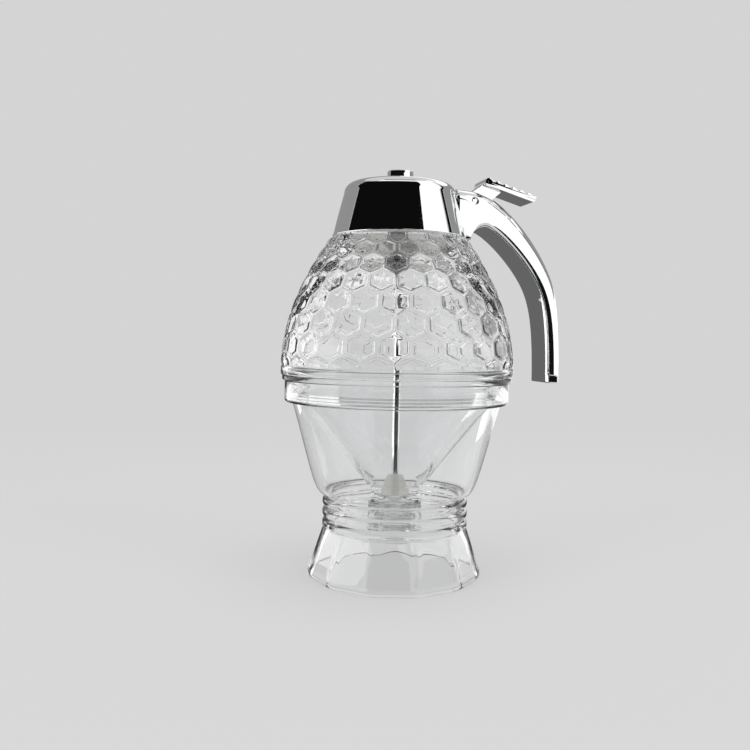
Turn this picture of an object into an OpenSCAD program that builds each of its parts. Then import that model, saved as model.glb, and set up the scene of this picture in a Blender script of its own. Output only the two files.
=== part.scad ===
/* [Overall] */
// Height of the whole dispenser on its stand, bottom edge to button top
overall_h = 165; // [150:1:180]
// Radius of the jar at its widest
jar_r = 47.4; // [44:0.2:51]

/* [Stand] */
// Height of the stand, floor to the top of its rim
stand_h = 79.1; // [74:0.5:84]
// Wall of the clear stand
stand_wall = 2.2; // [1.6:0.1:2.8]
// Radius across the flats of the skirt at the floor
skirt_r = 34.7; // [31:0.1:40]
// Height of the faceted skirt
skirt_h = 20; // [14:0.5:22]
// Number of flat facets round the skirt
skirt_facets = 12; // [8:1:12]
// Radius of the neck, over its rings
neck_ring_r = 29.6; // [28:0.1:32]
// Depth of the grooves between the rings
ring_depth = 1.6; // [0.8:0.1:2]
// Number of rings round the neck
ring_count = 3; // [2:1:3]
// Height taken by one ring and its groove
ring_pitch = 4.4; // [3.4:0.1:4.8]
// Step in from the jar's side to the bowl, just under the rim
bowl_step = 4.8; // [3.6:0.1:6.4]
// Height of the rim that holds the jar
rim_h = 8.8; // [7:0.1:11]

/* [Jar] */
// Wall of the clear jar and its funnel
jar_wall = 2.4; // [1.8:0.1:3]
// Height from the jar's lower edge to its shoulder
dome_h = 56; // [50:0.5:62]
// Radius of the shoulder, where the cap sits
shoulder_r = 27.9; // [26:0.1:30]
// Outer radius of the filling neck
mouth_r = 20.5; // [18:0.1:21.5]
// Height of the filling neck
mouth_h = 4.4; // [3.5:0.1:6]
// Radius of the spout below the funnel
spout_r = 10; // [9:0.1:12]
// Height of the floor of the funnel above the table
funnel_floor_z = 37.2; // [35:0.1:40]
// Height of the shoulder of the spout above the table
spout_step_z = 28.5; // [26:0.1:30]
// Radius of the drain through the spout, which the stopper closes
drain_r = 5.2; // [4.2:0.1:5.4]
// Outer radius of the nozzle
nozzle_r = 11.1; // [10.6:0.1:13]
// Height of the nozzle's lower edge above the table
nozzle_z = 16.4; // [12:0.1:18]
// Radius of the outlet in the floor of the nozzle
outlet_r = 5; // [4:0.1:5.2]

/* [Cap] */
// Wall of the chrome cap
cap_wall = 1.6; // [1.2:0.1:2]
// Radius of the cap at its lower edge
cap_low_r = 27.6; // [26:0.1:29]
// Radius of the cap at the foot of its rounded shoulder
cap_high_r = 22.9; // [21.5:0.1:24]
// Radius of the rounding at the top of the cap
cap_round = 4; // [2:0.5:5]
// Height of the button above the cap
button_h = 5.7; // [4:0.1:8]
// Radius of the button
button_r = 5.35; // [4.5:0.05:7]

/* [Handle] */
// Width of the handle, side to side
handle_w = 18.5; // [16:0.5:21]
// Distance from the jar's axis to the back of the handle
handle_reach = 70.4; // [67:0.2:75]
// Thickness of the handle at its lower end
handle_tip_t = 5.8; // [4.5:0.1:7]
// Flat side of the handle before its rounded back begins
handle_side = 4.2; // [3:0.1:4.4]
// Height of the handle's lower end above the table
handle_tip_z = 78.4; // [72:0.2:90]

/* [Lever] */
// Radius of the pivot pin
pin_r = 1.5; // [1.2:0.1:1.8]
// Distance of the pivot from the jar's axis
pivot_x = 29.8; // [28.8:0.1:31]
// Height of the pivot above the lower edge of the cap
pivot_up = 16.2; // [15.4:0.1:16.6]
// Width of the thumb pad
pad_w = 13; // [10:0.5:16]
// Length of the thumb pad
pad_l = 23.6; // [18:0.2:27]
// Downward slope of the thumb pad
pad_slope = 15.5; // [10:0.5:20]
// Number of grip ridges across the pad
pad_ridges = 6; // [3:1:8]
// Thickness of the lever in the handle's slot
web_w = 5.8; // [4:0.1:7]

/* [Plunger] */
// Radius of the steel rod
rod_r = 1.5; // [1.2:0.1:1.8]
// Greatest radius of the rubber stopper
stopper_r = 5.8; // [5.6:0.1:6.2]
// Radius of the lifting collar
collar_r = 6.4; // [5.8:0.1:7]
// Radius of the return spring to the middle of its wire
spring_r = 4.6; // [4.2:0.1:5]
// Radius of the spring's wire
wire_r = 0.35; // [0.25:0.05:0.4]
// Number of whole turns of the spring
spring_turns = 4; // [3:1:4]

/* [Fits] */
// Gap round a pin or rod that runs in its hole
run_gap = 0.06; // [0.03:0.01:0.1]
// Gap between pieces that are pressed, welded or screwed together
seat_gap = 0.03; // [0.01:0.01:0.05]
// Gap between the lid and the jar, and between the jar and its stand
loose_gap = 0.35; // [0.2:0.05:0.5]

/* [Hidden] */
$fn = 96;

// Heights, from the table up
dome_z = stand_h + 1.9;
shoulder_z = dome_z + dome_h;
mouth_z = shoulder_z + mouth_h;
gasket_h = 0.9;
deck_z = mouth_z + gasket_h;
deck_h = 1.7;
cap_z = shoulder_z + 0.3;
cap_top = overall_h - button_h;
roof_h = 1.8;
roof_z = cap_top - roof_h;
pivot_z = cap_z + pivot_up;
neck_top = skirt_h + ring_count * ring_pitch;

// Rim of the stand and the jar's spigot in it
rim_step = 1.7;
rim_r = jar_r - rim_step;
rim_wall = 1.8;
bowl_r = jar_r - bowl_step;
rim_inner = rim_r - rim_wall;
spigot_r = rim_inner - loose_gap;
spigot_h = 2.2;

// Parts of the plunger, as they stand in the closed valve
rod_top = overall_h - 1.6;
fork_bar_r = 1.2;
fork_z = deck_z + deck_h + 0.7 + fork_bar_r;
lift_gap = 0.1;
collar_z = fork_z + fork_bar_r + lift_gap;
collar_h = 1.5;
clip_r = 3;
clip_h = 0.6;
// Mouth of the drain: a chamfer that the stopper's edge meets
seat_z = funnel_floor_z - 4.8;
seat_h = 0.6;
seat_w = 0.8;

// A point of a cubic curve through a and d, steered by b and c
function bezier(a, b, c, d, t) =
    a * pow(1 - t, 3) + b * 3 * t * pow(1 - t, 2) + c * 3 * t * t * (1 - t) + d * pow(t, 3);
// Points of one curve, without its first point when joined to another
function curve(p, n, from = 0) = [for (i = [from:n]) bezier(p[0], p[1], p[2], p[3], i / n)];
// Radius of the cap's outer cone at a height
function cap_r(z) =
    cap_low_r + (cap_high_r - cap_low_r) * (z - cap_z) / (cap_top - cap_round - cap_z);

// Half outlines are turned into solids of revolution
module turned(points) {
    rotate_extrude() polygon(points);
}

// A tube between two heights
module tube(outer, inner, z0, z1) {
    translate([0, 0, z0]) difference() {
        cylinder(r = outer, h = z1 - z0);
        translate([0, 0, -1]) cylinder(r = inner, h = z1 - z0 + 2);
    }
}

// ---- Stand -------------------------------------------------------------

bowl_foot_r = neck_ring_r + 4.4;
rim_low = stand_h - rim_h;
bowl_outline = [[neck_ring_r, neck_top], [bowl_foot_r - 0.6, neck_top + 0.4],
                [bowl_foot_r + 1.2, neck_top + 12], [bowl_r, rim_low]];
neck_r = neck_ring_r - ring_depth;

// Wall of the bowl: a steep curve outside, and the same curve one wall further in
module bowl() {
    outside = curve(bowl_outline, 14);
    inset = [stand_wall, -stand_wall * 0.25];
    inside = [for (i = [14:-1:0]) outside[i] - inset];
    lower = [[neck_r - stand_wall, neck_top + 0.1], [neck_r - stand_wall, neck_top - 2]];
    turned(concat([[neck_r, neck_top - 2], [neck_r, neck_top]], outside,
                  [[bowl_r, rim_low + 0.4], [bowl_r - stand_wall, rim_low + 0.4]], inside, lower));
}

// Ridged tube between the bowl and the skirt
module neck_rings() {
    tube(neck_r, neck_r - stand_wall, skirt_h - 2, neck_top);
    for (i = [0:ring_count - 1]) {
        low = skirt_h + i * ring_pitch;
        round = ring_pitch * 0.16;
        turned([[neck_r - 0.5, low], [neck_ring_r - round, low],
                [neck_ring_r, low + round], [neck_ring_r, low + ring_pitch * 0.62 - round],
                [neck_ring_r - round, low + ring_pitch * 0.62], [neck_r - 0.5, low + ring_pitch * 0.7]]);
    }
}

// Flared skirt with flat facets, one of them square to the view
module skirt() {
    corner = 1 / cos(180 / skirt_facets);
    foot_round = 1.1;
    top_r = (neck_ring_r - 0.6) * corner;
    foot_r = skirt_r * corner;
    difference() {
        union() {
            translate([0, 0, foot_round])
                cylinder(r1 = foot_r, r2 = top_r, h = skirt_h - foot_round, $fn = skirt_facets);
            cylinder(r1 = foot_r - 0.7, r2 = foot_r, h = foot_round, $fn = skirt_facets);
        }
        translate([0, 0, -0.01])
            cylinder(r1 = foot_r - stand_wall * corner, r2 = (neck_r - stand_wall),
                     h = skirt_h - stand_wall, $fn = skirt_facets);
        cylinder(r = neck_r - stand_wall, h = skirt_h + 1);
    }
}

// Collar that the jar drops into, with thin beads on its inner side
module stand_rim() {
    bead = 0.2;
    beads = 3;
    ledge = 1.2;
    tube(rim_r, rim_inner, rim_low, stand_h);
    tube(rim_r, bowl_r - stand_wall, rim_low, rim_low + ledge);
    for (i = [1:beads])
        tube(rim_inner + 0.1, rim_inner - bead, rim_low + ledge * i, rim_low + ledge * i + 0.5);
}

module stand() {
    color([0.80, 0.84, 0.86, 0.45]) union() {
        skirt();
        neck_rings();
        bowl();
        stand_rim();
    }
}

// ---- Jar: dome, funnel and nozzle --------------------------------------

lip_h = 2.6;
dome_outline = [[jar_r, dome_z + 3], [jar_r, dome_z + dome_h * 0.44],
                [shoulder_r + 9, shoulder_z - dome_h * 0.24], [shoulder_r, shoulder_z]];

module dome() {
    steps = 18;
    outside = curve(dome_outline, steps);
    bore = mouth_r - jar_wall;
    // The inner curve ends under the flat shoulder, at the bore of the neck
    inner_outline = [[jar_r - jar_wall, dome_z + 3], [jar_r - jar_wall, dome_z + dome_h * 0.42],
                     [shoulder_r + 4.5, shoulder_z - dome_h * 0.26], [bore, shoulder_z - jar_wall]];
    inside = curve(inner_outline, steps);
    color([0.78, 0.86, 0.90, 0.40])
        turned(concat([[jar_r - 0.6, dome_z], [jar_r, dome_z + 0.6]], outside,
                      [[mouth_r, shoulder_z], [mouth_r, mouth_z], [bore, mouth_z]],
                      [for (i = [steps:-1:0]) inside[i]], [[jar_r - jar_wall, dome_z]]));
}

module funnel() {
    slant = jar_wall * 1.27;
    lip_r = jar_r - jar_wall - seat_gap;
    cone_top = stand_h - spigot_h;
    cup_r = 7.6;
    tail_r = spout_r - 1.4;
    tail_z = nozzle_z + 3.4;
    color([0.78, 0.86, 0.90, 0.40])
        turned([[tail_r, tail_z], [tail_r, spout_step_z], [spout_r, spout_step_z],
                [spout_r, funnel_floor_z - 0.5], [spout_r + 2, funnel_floor_z],
                [spigot_r, cone_top], [spigot_r, stand_h],
                [jar_r - 0.6, stand_h], [jar_r - 0.6, dome_z - seat_gap],
                [lip_r, dome_z - seat_gap], [lip_r, dome_z + lip_h],
                [lip_r - 1.4, dome_z + lip_h], [spigot_r - jar_wall, stand_h + 0.4],
                [spigot_r - jar_wall, cone_top + 0.6],
                [spout_r + 2 - slant, funnel_floor_z + 0.6], [cup_r, funnel_floor_z - 0.6],
                [cup_r, seat_z + 0.8], [drain_r + seat_w, seat_z], [drain_r, seat_z - seat_h],
                [drain_r, tail_z]]);
}

module nozzle() {
    socket_r = spout_r - 1.4 + seat_gap;
    floor_z = nozzle_z + 3.4 - seat_gap;
    edge = 0.8;
    color([0.74, 0.83, 0.87, 0.45])
        turned([[outlet_r, nozzle_z], [nozzle_r - edge, nozzle_z], [nozzle_r, nozzle_z + edge],
                [nozzle_r, spout_step_z - edge], [nozzle_r - edge, spout_step_z - seat_gap],
                [socket_r, spout_step_z - seat_gap], [socket_r, floor_z], [outlet_r, floor_z]]);
}

// ---- Lid: seal, liner, chrome shell, bushes ----------------------------

// Flat silicone ring on the rim of the filling neck
module gasket() {
    color([0.90, 0.90, 0.88]) tube(mouth_r - 0.2, mouth_r - jar_wall + 0.2, mouth_z, deck_z);
}

bush_r = 2.9;

// Inner plug of the lid: a deck, a plug in the neck and a skirt round it
module cap_liner() {
    plug_r = mouth_r - jar_wall - loose_gap;
    skirt_in = mouth_r + loose_gap;
    low = cap_z + 0.3;
    high = deck_z + deck_h;
    plug_low = shoulder_z - 1.5;
    play = seat_gap + 0.09;
    plug_wall = 1.4;
    color([0.93, 0.93, 0.91])
        turned([[bush_r + seat_gap, deck_z], [plug_r - plug_wall, deck_z],
                [plug_r - plug_wall, plug_low], [plug_r, plug_low], [plug_r, deck_z],
                [skirt_in, deck_z], [skirt_in, low], [cap_r(low) - cap_wall - play, low],
                [cap_r(high) - cap_wall - play, high], [bush_r + seat_gap, high]]);
}

slot_w = 11.2;
slot_low = pivot_z - 6.2;
slot_high = pivot_z + 1.2;

module cap_shell() {
    arc = 6;
    foot = 0.4;
    top_in = cap_high_r - cap_wall;
    round_points = [for (i = [0:arc])
        [cap_high_r - cap_round + cap_round * cos(90 * i / arc),
         cap_top - cap_round + cap_round * sin(90 * i / arc)]];
    color([0.75, 0.76, 0.78]) difference() {
        turned(concat([[cap_low_r - cap_wall, cap_z], [cap_low_r - foot, cap_z],
                       [cap_r(cap_z + foot), cap_z + foot]], round_points,
                      [[bush_r + seat_gap, cap_top], [bush_r + seat_gap, roof_z],
                       [top_in - cap_round + 1, roof_z], [top_in, cap_top - cap_round]]));
        // Opening for the lever, behind the root of the handle
        translate([cap_high_r - 6, -slot_w / 2, slot_low]) cube([12, slot_w, slot_high - slot_low]);
        for (side = [-1, 1]) screw_place(side) cylinder(r = screw_r + seat_gap, h = screw_l);
    }
}

// Chrome boss that guides the rod below the lid, held in the liner by its flange
module guide_bush() {
    boss_r = 4.3;
    boss_low = shoulder_z - 13.4;
    boss_top = deck_z + deck_h + 0.4;
    flange_r = boss_r + 1.6;
    flange_z = deck_z - 1.2;
    color([0.70, 0.71, 0.73]) difference() {
        turned([[0, boss_low], [boss_r - 1, boss_low], [boss_r, boss_low + 1],
                [boss_r, flange_z], [flange_r, flange_z], [flange_r, deck_z - seat_gap],
                [bush_r, deck_z - seat_gap], [bush_r, boss_top], [0, boss_top]]);
        translate([0, 0, boss_low - 1])
            cylinder(r = rod_r + run_gap, h = boss_top - boss_low + 2);
    }
}

// Plastic bush in the roof, which guides the rod and seats the spring
roof_flange = 0.8;
module roof_bush() {
    color([0.92, 0.92, 0.90]) difference() {
        turned([[0, roof_z - roof_flange], [spring_r + wire_r + 0.4, roof_z - roof_flange],
                [spring_r + wire_r + 0.4, roof_z - seat_gap], [bush_r, roof_z - seat_gap],
                [bush_r, cap_top], [0, cap_top]]);
        translate([0, 0, roof_z - 5]) cylinder(r = rod_r + run_gap, h = 20);
    }
}

// ---- Handle and its fixings --------------------------------------------

screw_r = 1.1;
screw_l = 13;
screw_y = 6.9;
screw_z = cap_z + 9.5;
screw_x = cap_r(screw_z) - cap_wall - 2.7;

// Puts a screw's axis along +X, its head inside the cap
module screw_place(side) {
    translate([screw_x, side * screw_y, screw_z]) rotate([0, 90, 0]) children();
}

// Side view of the handle as paired curves: its inner face and the crown of its back
tip_in = handle_reach - handle_tip_t;
root_x = cap_high_r;
arch_x = root_x + 8.6;
arch_z = cap_z + 5.7;
knee_z = handle_tip_z + 38.5;
root_top = cap_z + 21.7;
inner_arch = [[cap_low_r + 0.6, cap_z + 0.1], [cap_low_r + 1, arch_z - 2],
              [arch_x, arch_z + 0.2], [arch_x + 3.5, arch_z]];
inner_fall = [inner_arch[3], [arch_x + 10, arch_z - 1.8],
              [tip_in - 9.1, knee_z + 10.6], [tip_in - 4.6, knee_z]];
inner_drop = [inner_fall[3], [tip_in - 1.2, knee_z - 8], [tip_in, knee_z - 18], [tip_in, handle_tip_z]];
crown_arch = [[root_x + 1, root_top], [root_x + 5, root_top],
              [arch_x + 1.5, root_top - 0.3], [arch_x + 5, root_top - 1.6]];
crown_fall = [crown_arch[3], [arch_x + 15.5, root_top - 4.9],
              [handle_reach - 7.4, knee_z + 19.5], [handle_reach - 2.6, knee_z + 3.2]];
crown_drop = [crown_fall[3], [handle_reach - 0.8, knee_z - 4],
              [handle_reach, knee_z - 15], [handle_reach, handle_tip_z]];
arch_n = 5;
fall_n = 10;
drop_n = 8;
inner_path = concat([[root_x, cap_z + 0.1]], curve(inner_arch, arch_n),
                    curve(inner_fall, fall_n, 1), curve(inner_drop, drop_n, 1));
crown_path = concat([[root_x, root_top]], curve(crown_arch, arch_n),
                    curve(crown_fall, fall_n, 1), curve(crown_drop, drop_n, 1));
path_n = len(inner_path);

// Height of the flat side at one station: deep at the root, even along the grip
function side_at(i) =
    let (root = 9.4, k = min(1, i / (arch_n + 1)))
    root + (handle_side - root) * k - 0.7 * max(0, (i - arch_n - fall_n) / drop_n);

// Ring of points round the handle at one station
crown_n = 12;
function handle_ring(i) =
    let (full = norm(crown_path[i] - inner_path[i]),
         side = min(side_at(i), full * 0.75), half = handle_w / 2, edge = 0.6)
    concat([[-half + edge, 0], [-half, edge]],
           [for (k = [0:crown_n]) [-half * cos(180 * k / crown_n),
                                   side + (full - side) * sin(180 * k / crown_n)]],
           [[half, edge], [half - edge, 0]]);
function handle_point(i, p) =
    let (a = inner_path[i], b = crown_path[i], u = (b - a) / norm(b - a))
    [a[0] + u[0] * p[1], p[0], a[1] + u[1] * p[1]];
ring_n = crown_n + 5;

// Sweep of rings closed by flat ends
module sweep(rings, n) {
    m = len(rings);
    points = [for (r = rings) each r];
    sides = [for (i = [0:m - 2]) for (k = [0:n - 1])
        let (a = i * n + k, b = i * n + (k + 1) % n) each [[a, b, a + n], [b, b + n, a + n]]];
    caps = [[for (k = [n - 1:-1:0]) k], [for (k = [0:n - 1]) (m - 1) * n + k]];
    polyhedron(points, concat(sides, caps));
}

handle_slot = web_w + 0.7;
// Depth and ends of the slot below the pivot, with room for the lever's swing
slot_deep = 6.3;
slot_run = 6.2;
slot_open = 14;
slot_shallow = 1.9;
module handle() {
    color([0.78, 0.79, 0.80]) difference() {
        sweep([for (i = [0:path_n - 1]) [for (p = handle_ring(i)) handle_point(i, p)]], ring_n);
        // The root follows the cap's cone
        translate([0, 0, cap_z - 3])
            cylinder(r1 = cap_r(cap_z - 3) + seat_gap, r2 = cap_r(cap_top + 3) + seat_gap,
                     h = cap_top - cap_z + 6);
        // Slot for the lever, open at the top and at the root
        translate([pivot_x, 0, pivot_z]) across(handle_slot)
            polygon([[-slot_open, 20], [-slot_open, -slot_deep], [slot_run, -slot_deep],
                     [2 * slot_run, -slot_shallow], [2 * slot_run, 20]]);
        translate([pivot_x, 0, pivot_z]) rotate([90, 0, 0])
            cylinder(r = pin_r + seat_gap, h = handle_w + 2, center = true);
        for (side = [-1, 1]) screw_place(side) cylinder(r = screw_r + seat_gap, h = screw_l + 0.5);
    }
}

// Screw from inside the cap into the handle, with a pan head
module handle_screw(side) {
    head_r = 2.1;
    head_h = 1.3;
    color([0.62, 0.62, 0.64]) screw_place(side) difference() {
        union() {
            cylinder(r = screw_r, h = screw_l);
            translate([0, 0, -head_h]) cylinder(r = head_r, h = head_h);
        }
        for (turn = [0, 90])
            rotate([0, 0, turn]) translate([0, 0, -head_h]) cube([2.4, 0.5, 1.2], center = true);
    }
}
module handle_screw_left() {
    handle_screw(1);
}
module handle_screw_right() {
    handle_screw(-1);
}

pin_l = handle_w * 0.86;
module pivot_pin() {
    color([0.60, 0.61, 0.63]) translate([pivot_x, 0, pivot_z]) rotate([90, 0, 0])
        cylinder(r = pin_r, h = pin_l, center = true);
}

// ---- Lever with its thumb pad ------------------------------------------

hub_r = 3.6;
pad_x = pivot_x + 5;
pad_z = pivot_z + 7.7;
pad_t = 2.4;
ridge_h = 0.9;
tine_in = clip_r + 0.4;
tine_t = 1.9;
tine_root = collar_r + 2.4;

// Serrated pad, level before it is tilted, its left end rounded
module pad_outline() {
    step = (pad_l - 1.6) / pad_ridges;
    crest = pad_t + ridge_h;
    polygon(concat([[0.9, 0], [0.25, 0.25], [0, 0.9], [0.2, crest - 0.9], [0.8, crest - 0.2]],
                   [for (i = [0:pad_ridges - 1]) each
                       [[1.6 + step * i, crest], [1.6 + step * (i + 0.62), pad_t],
                        [1.6 + step * (i + 0.8), pad_t]]],
                   [[pad_l, crest - 0.4], [pad_l + 0.3, crest - 1], [pad_l, 0.6], [pad_l - 0.6, 0]]));
}

// Drawn in the plane of X and Z and given an even width
module across(width) {
    rotate([90, 0, 0]) translate([0, 0, -width / 2]) linear_extrude(width) children();
}

module trigger() {
    bend_x = tine_root + 3;
    color([0.80, 0.81, 0.82]) difference() {
        union() {
            translate([pad_x, 0, pad_z]) rotate([0, pad_slope, 0]) across(pad_w) pad_outline();
            across(web_w) {
                translate([pivot_x, pivot_z]) circle(r = hub_r);
                // Stem from the hub to the underside of the pad
                polygon([[pivot_x - 2.6, pivot_z + 2], [pad_x + 0.8, pad_z + 0.8],
                         [pad_x + 9.5, pad_z - 1.8], [pad_x + 5.5, pad_z - 5.2],
                         [pivot_x + 3, pivot_z - 1]]);
                // Arm through the cap's wall to the root of the fork
                polygon([[pivot_x, pivot_z + 1.8], [pivot_x, pivot_z - 1.6],
                         [bend_x, fork_z - fork_bar_r], [tine_root, fork_z - fork_bar_r],
                         [tine_root, fork_z + fork_bar_r - 0.6], [bend_x, fork_z + fork_bar_r]]);
            }
            // Fork with a round bar across the end of each tine
            fork_w = 2 * (tine_in + tine_t);
            translate([0, -fork_w / 2, fork_z - fork_bar_r])
                cube([bend_x, fork_w, 2 * fork_bar_r - 0.6]);
            translate([0, 0, fork_z]) rotate([90, 0, 0])
                cylinder(r = fork_bar_r, h = fork_w, center = true);
        }
        translate([-10, -tine_in, fork_z - 5]) cube([10 + tine_root, 2 * tine_in, 10]);
        translate([pivot_x, 0, pivot_z]) rotate([90, 0, 0])
            cylinder(r = pin_r + run_gap, h = 30, center = true);
    }
}

// ---- Plunger -----------------------------------------------------------

module rod() {
    point_h = 2.4;
    low = seat_z - 1.8;
    color([0.66, 0.67, 0.69])
        turned([[0, low], [rod_r, low + point_h], [rod_r, rod_top], [0, rod_top]]);
}

module button() {
    edge = 0.7;
    neck = 0.25;
    low = cap_top + neck;
    color([0.78, 0.79, 0.80]) difference() {
        turned([[0, low], [button_r - edge, low], [button_r, low + edge],
                [button_r, overall_h - edge], [button_r - edge, overall_h], [0, overall_h]]);
        translate([0, 0, low - 1]) cylinder(r = rod_r + seat_gap, h = rod_top + seat_gap - low + 1);
    }
}

module lift_collar() {
    color([0.90, 0.90, 0.88]) tube(collar_r, rod_r + seat_gap, collar_z, collar_z + collar_h);
}

// Open ring snapped on the rod against the collar
module clip(z) {
    color([0.55, 0.56, 0.58]) difference() {
        tube(clip_r, rod_r + seat_gap, z, z + clip_h);
        translate([-clip_r, -rod_r * 0.8, z - 1]) cube([clip_r, rod_r * 1.6, clip_h + 2]);
    }
}
module clip_upper() {
    clip(collar_z + collar_h);
}
module clip_lower() {
    clip(collar_z - clip_h);
}

// Rubber valve: a bell whose edge closes the drain, and a plug that points into it
module stopper() {
    edge_h = 0.3;
    foot_z = seat_z - seat_h + (stopper_r - drain_r) * seat_h / seat_w + seat_gap * 2 - edge_h;
    plug_r = drain_r - 0.7;
    bell_h = 9.6;
    color([0.80, 0.77, 0.70]) difference() {
        turned([[0, seat_z - 3.4], [1.4, seat_z - 3.4], [plug_r - 0.9, seat_z - 1.2],
                [plug_r, foot_z], [stopper_r, foot_z + edge_h], [stopper_r, foot_z + 1.6],
                [stopper_r - 0.5, foot_z + 3.7], [stopper_r - 1.5, foot_z + 6.6],
                [2 * rod_r + 0.5, foot_z + bell_h - 0.5], [2 * rod_r, foot_z + bell_h],
                [0, foot_z + bell_h]]);
        turned([[0, seat_z - 1.8 - seat_gap], [rod_r + seat_gap, seat_z + 0.6],
                [rod_r + seat_gap, foot_z + bell_h + 1], [0, foot_z + bell_h + 1]]);
    }
}

// Wire of the return spring, one unbroken tube with straight ends
spring_low = collar_z + collar_h + 0.05;
spring_high = roof_z - roof_flange - 0.05;
wire_sides = 6;
curl_rings = 8;
function spring_centre(k) =
    let (turn = k / curl_rings, rise = spring_high - spring_low - 2 * wire_r)
    [spring_r * cos(360 * turn), spring_r * sin(360 * turn),
     spring_low + wire_r + rise * turn / spring_turns];
function wire_ring(k) =
    let (c = spring_centre(k), a = 360 * k / curl_rings)
    [for (s = [0:wire_sides - 1])
        let (w = 360 * s / wire_sides + 30)
        c + [cos(a) * wire_r * cos(w), sin(a) * wire_r * cos(w), wire_r * sin(w)]];
// Straight end: the ring pushed along the wire's own direction
function end_ring(k, way) =
    let (a = 360 * k / curl_rings, push = 2 * wire_r * way)
    [for (p = wire_ring(k)) p + [-sin(a) * push, cos(a) * push, 0]];
spring_gap = (spring_high - spring_low - 2 * wire_r) / spring_turns - 2 * wire_r;
echo(spring_gap = spring_gap);

module return_spring() {
    last = spring_turns * curl_rings;
    color([0.60, 0.61, 0.63])
        sweep(concat([end_ring(0, -1)], [for (k = [0:last]) wire_ring(k)], [end_ring(last, 1)]),
              wire_sides);
}

stand();
dome();
funnel();
nozzle();
gasket();
cap_shell();
cap_liner();
guide_bush();
roof_bush();
handle();
handle_screw_left();
handle_screw_right();
pivot_pin();
trigger();
return_spring();
rod();
button();
lift_collar();
clip_upper();
clip_lower();
stopper();
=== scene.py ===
# %% [markdown]
# # A honey dispenser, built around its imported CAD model
# The real object is a clear jar with a honeycomb relief under a chrome lid. A lever in the handle
# lifts a steel rod, the rubber stopper leaves the drain, and honey runs out through the stand.
# The CAD model is the fixed frame. Each piece below is a finer version of one of its solids, drawn
# to the same sizes and straight in its place, so nothing has to be moved or fitted afterwards.

# %% Load the frame
import math

import bmesh
import bpy
import numpy as np
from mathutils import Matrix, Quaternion, Vector


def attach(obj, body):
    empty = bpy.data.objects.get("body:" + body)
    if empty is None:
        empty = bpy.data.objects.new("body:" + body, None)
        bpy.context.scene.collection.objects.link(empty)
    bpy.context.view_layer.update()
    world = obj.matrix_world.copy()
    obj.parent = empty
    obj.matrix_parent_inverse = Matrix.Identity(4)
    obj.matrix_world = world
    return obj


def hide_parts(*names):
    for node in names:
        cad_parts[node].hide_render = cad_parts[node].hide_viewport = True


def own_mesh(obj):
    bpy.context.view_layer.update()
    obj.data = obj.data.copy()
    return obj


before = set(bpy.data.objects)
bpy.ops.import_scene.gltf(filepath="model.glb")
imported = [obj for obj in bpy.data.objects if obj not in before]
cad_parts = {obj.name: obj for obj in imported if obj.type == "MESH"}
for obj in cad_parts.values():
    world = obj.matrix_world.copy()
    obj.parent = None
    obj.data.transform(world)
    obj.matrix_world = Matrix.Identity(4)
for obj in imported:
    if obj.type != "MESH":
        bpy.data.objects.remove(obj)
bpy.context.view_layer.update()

MM = 0.001                          # sizes are written in millimetres


# %% [markdown]
# ## Shader maths
# A pattern could be built by hand, node by node, but it is easier to read as an expression. One
# small class wraps an output socket, and + and * on it add Math nodes. Every other node comes
# from one method, which sets the node's own settings first and then its sockets.

# %% A wire
class Wire:
    """An output socket that can be used in arithmetic."""

    def __init__(self, finish, socket):
        self.finish, self.socket = finish, socket

    def maths(self, operation, other):
        return self.finish.node("ShaderNodeMath", {"operation": operation}, {0: self, 1: other})

    def __add__(self, other): return self.maths("ADD", other)
    def __mul__(self, other): return self.maths("MULTIPLY", other)
    __radd__, __rmul__ = __add__, __mul__       # a sum and a product read the same both ways


print("a wire knows + and *")

# %% A finish
class Finish:
    """A material under construction."""

    def __init__(self, name):
        self.material = bpy.data.materials.new(name)
        self.material.use_nodes = True
        self.tree = self.material.node_tree
        self.tree.nodes.clear()

    def node(self, kind, settings=None, sockets=None, out=0):
        """A node of this type, its settings and the values or wires of its sockets."""
        made = self.tree.nodes.new(kind)
        for key, value in (settings or {}).items():
            if key == "stops":
                for stop, (place, shade) in zip(self.stops(made, len(value)), value):
                    stop.position, stop.color = place, (shade, shade, shade, 1)
            else:
                setattr(made, key, value)
        for key, value in (sockets or {}).items():
            if isinstance(value, Wire):
                self.tree.links.new(value.socket, made.inputs[key])
            else:
                made.inputs[key].default_value = value
        return Wire(self, made.outputs[out])

    def stops(self, made, count):
        """As many stops as asked for on a new colour ramp, which has two."""
        stops = made.color_ramp.elements
        while len(stops) < count:
            stops.new(0.5)
        return list(stops)

    def place(self, scale=(1, 1, 1)):
        """Object coordinates in metres, stretched by scale."""
        here = self.node("ShaderNodeTexCoord", out="Object")
        return self.node("ShaderNodeMapping", None, {"Vector": here, "Scale": scale})

    def noise(self, size, detail=2.0, stretch=(1, 1, 1)):
        """Soft blotches of about size metres."""
        scale = tuple(s / size for s in stretch)
        return self.node("ShaderNodeTexNoise", None,
                         {"Vector": self.place(scale), "Scale": 1.0, "Detail": detail})

    def ramp(self, wire, *stops):
        """Each stop is a place from 0 to 1 and the value there."""
        return self.node("ShaderNodeValToRGB", {"stops": stops}, {"Fac": wire})

    def bump(self, height, strength, distance):
        return self.node("ShaderNodeBump", None,
                         {"Height": height, "Strength": strength, "Distance": distance})

    def surface(self, **sockets):
        """One Principled shader ends the finish. A _ in a name stands for a space."""
        named = {key.replace("_", " "): value for key, value in sockets.items()}
        return self.ending(self.node("ShaderNodeBsdfPrincipled", None, named))

    def ending(self, shader):
        end = self.tree.nodes.new("ShaderNodeOutputMaterial")
        self.tree.links.new(shader.socket, end.inputs["Surface"])
        return self.material


print("finish helper ready")

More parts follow.
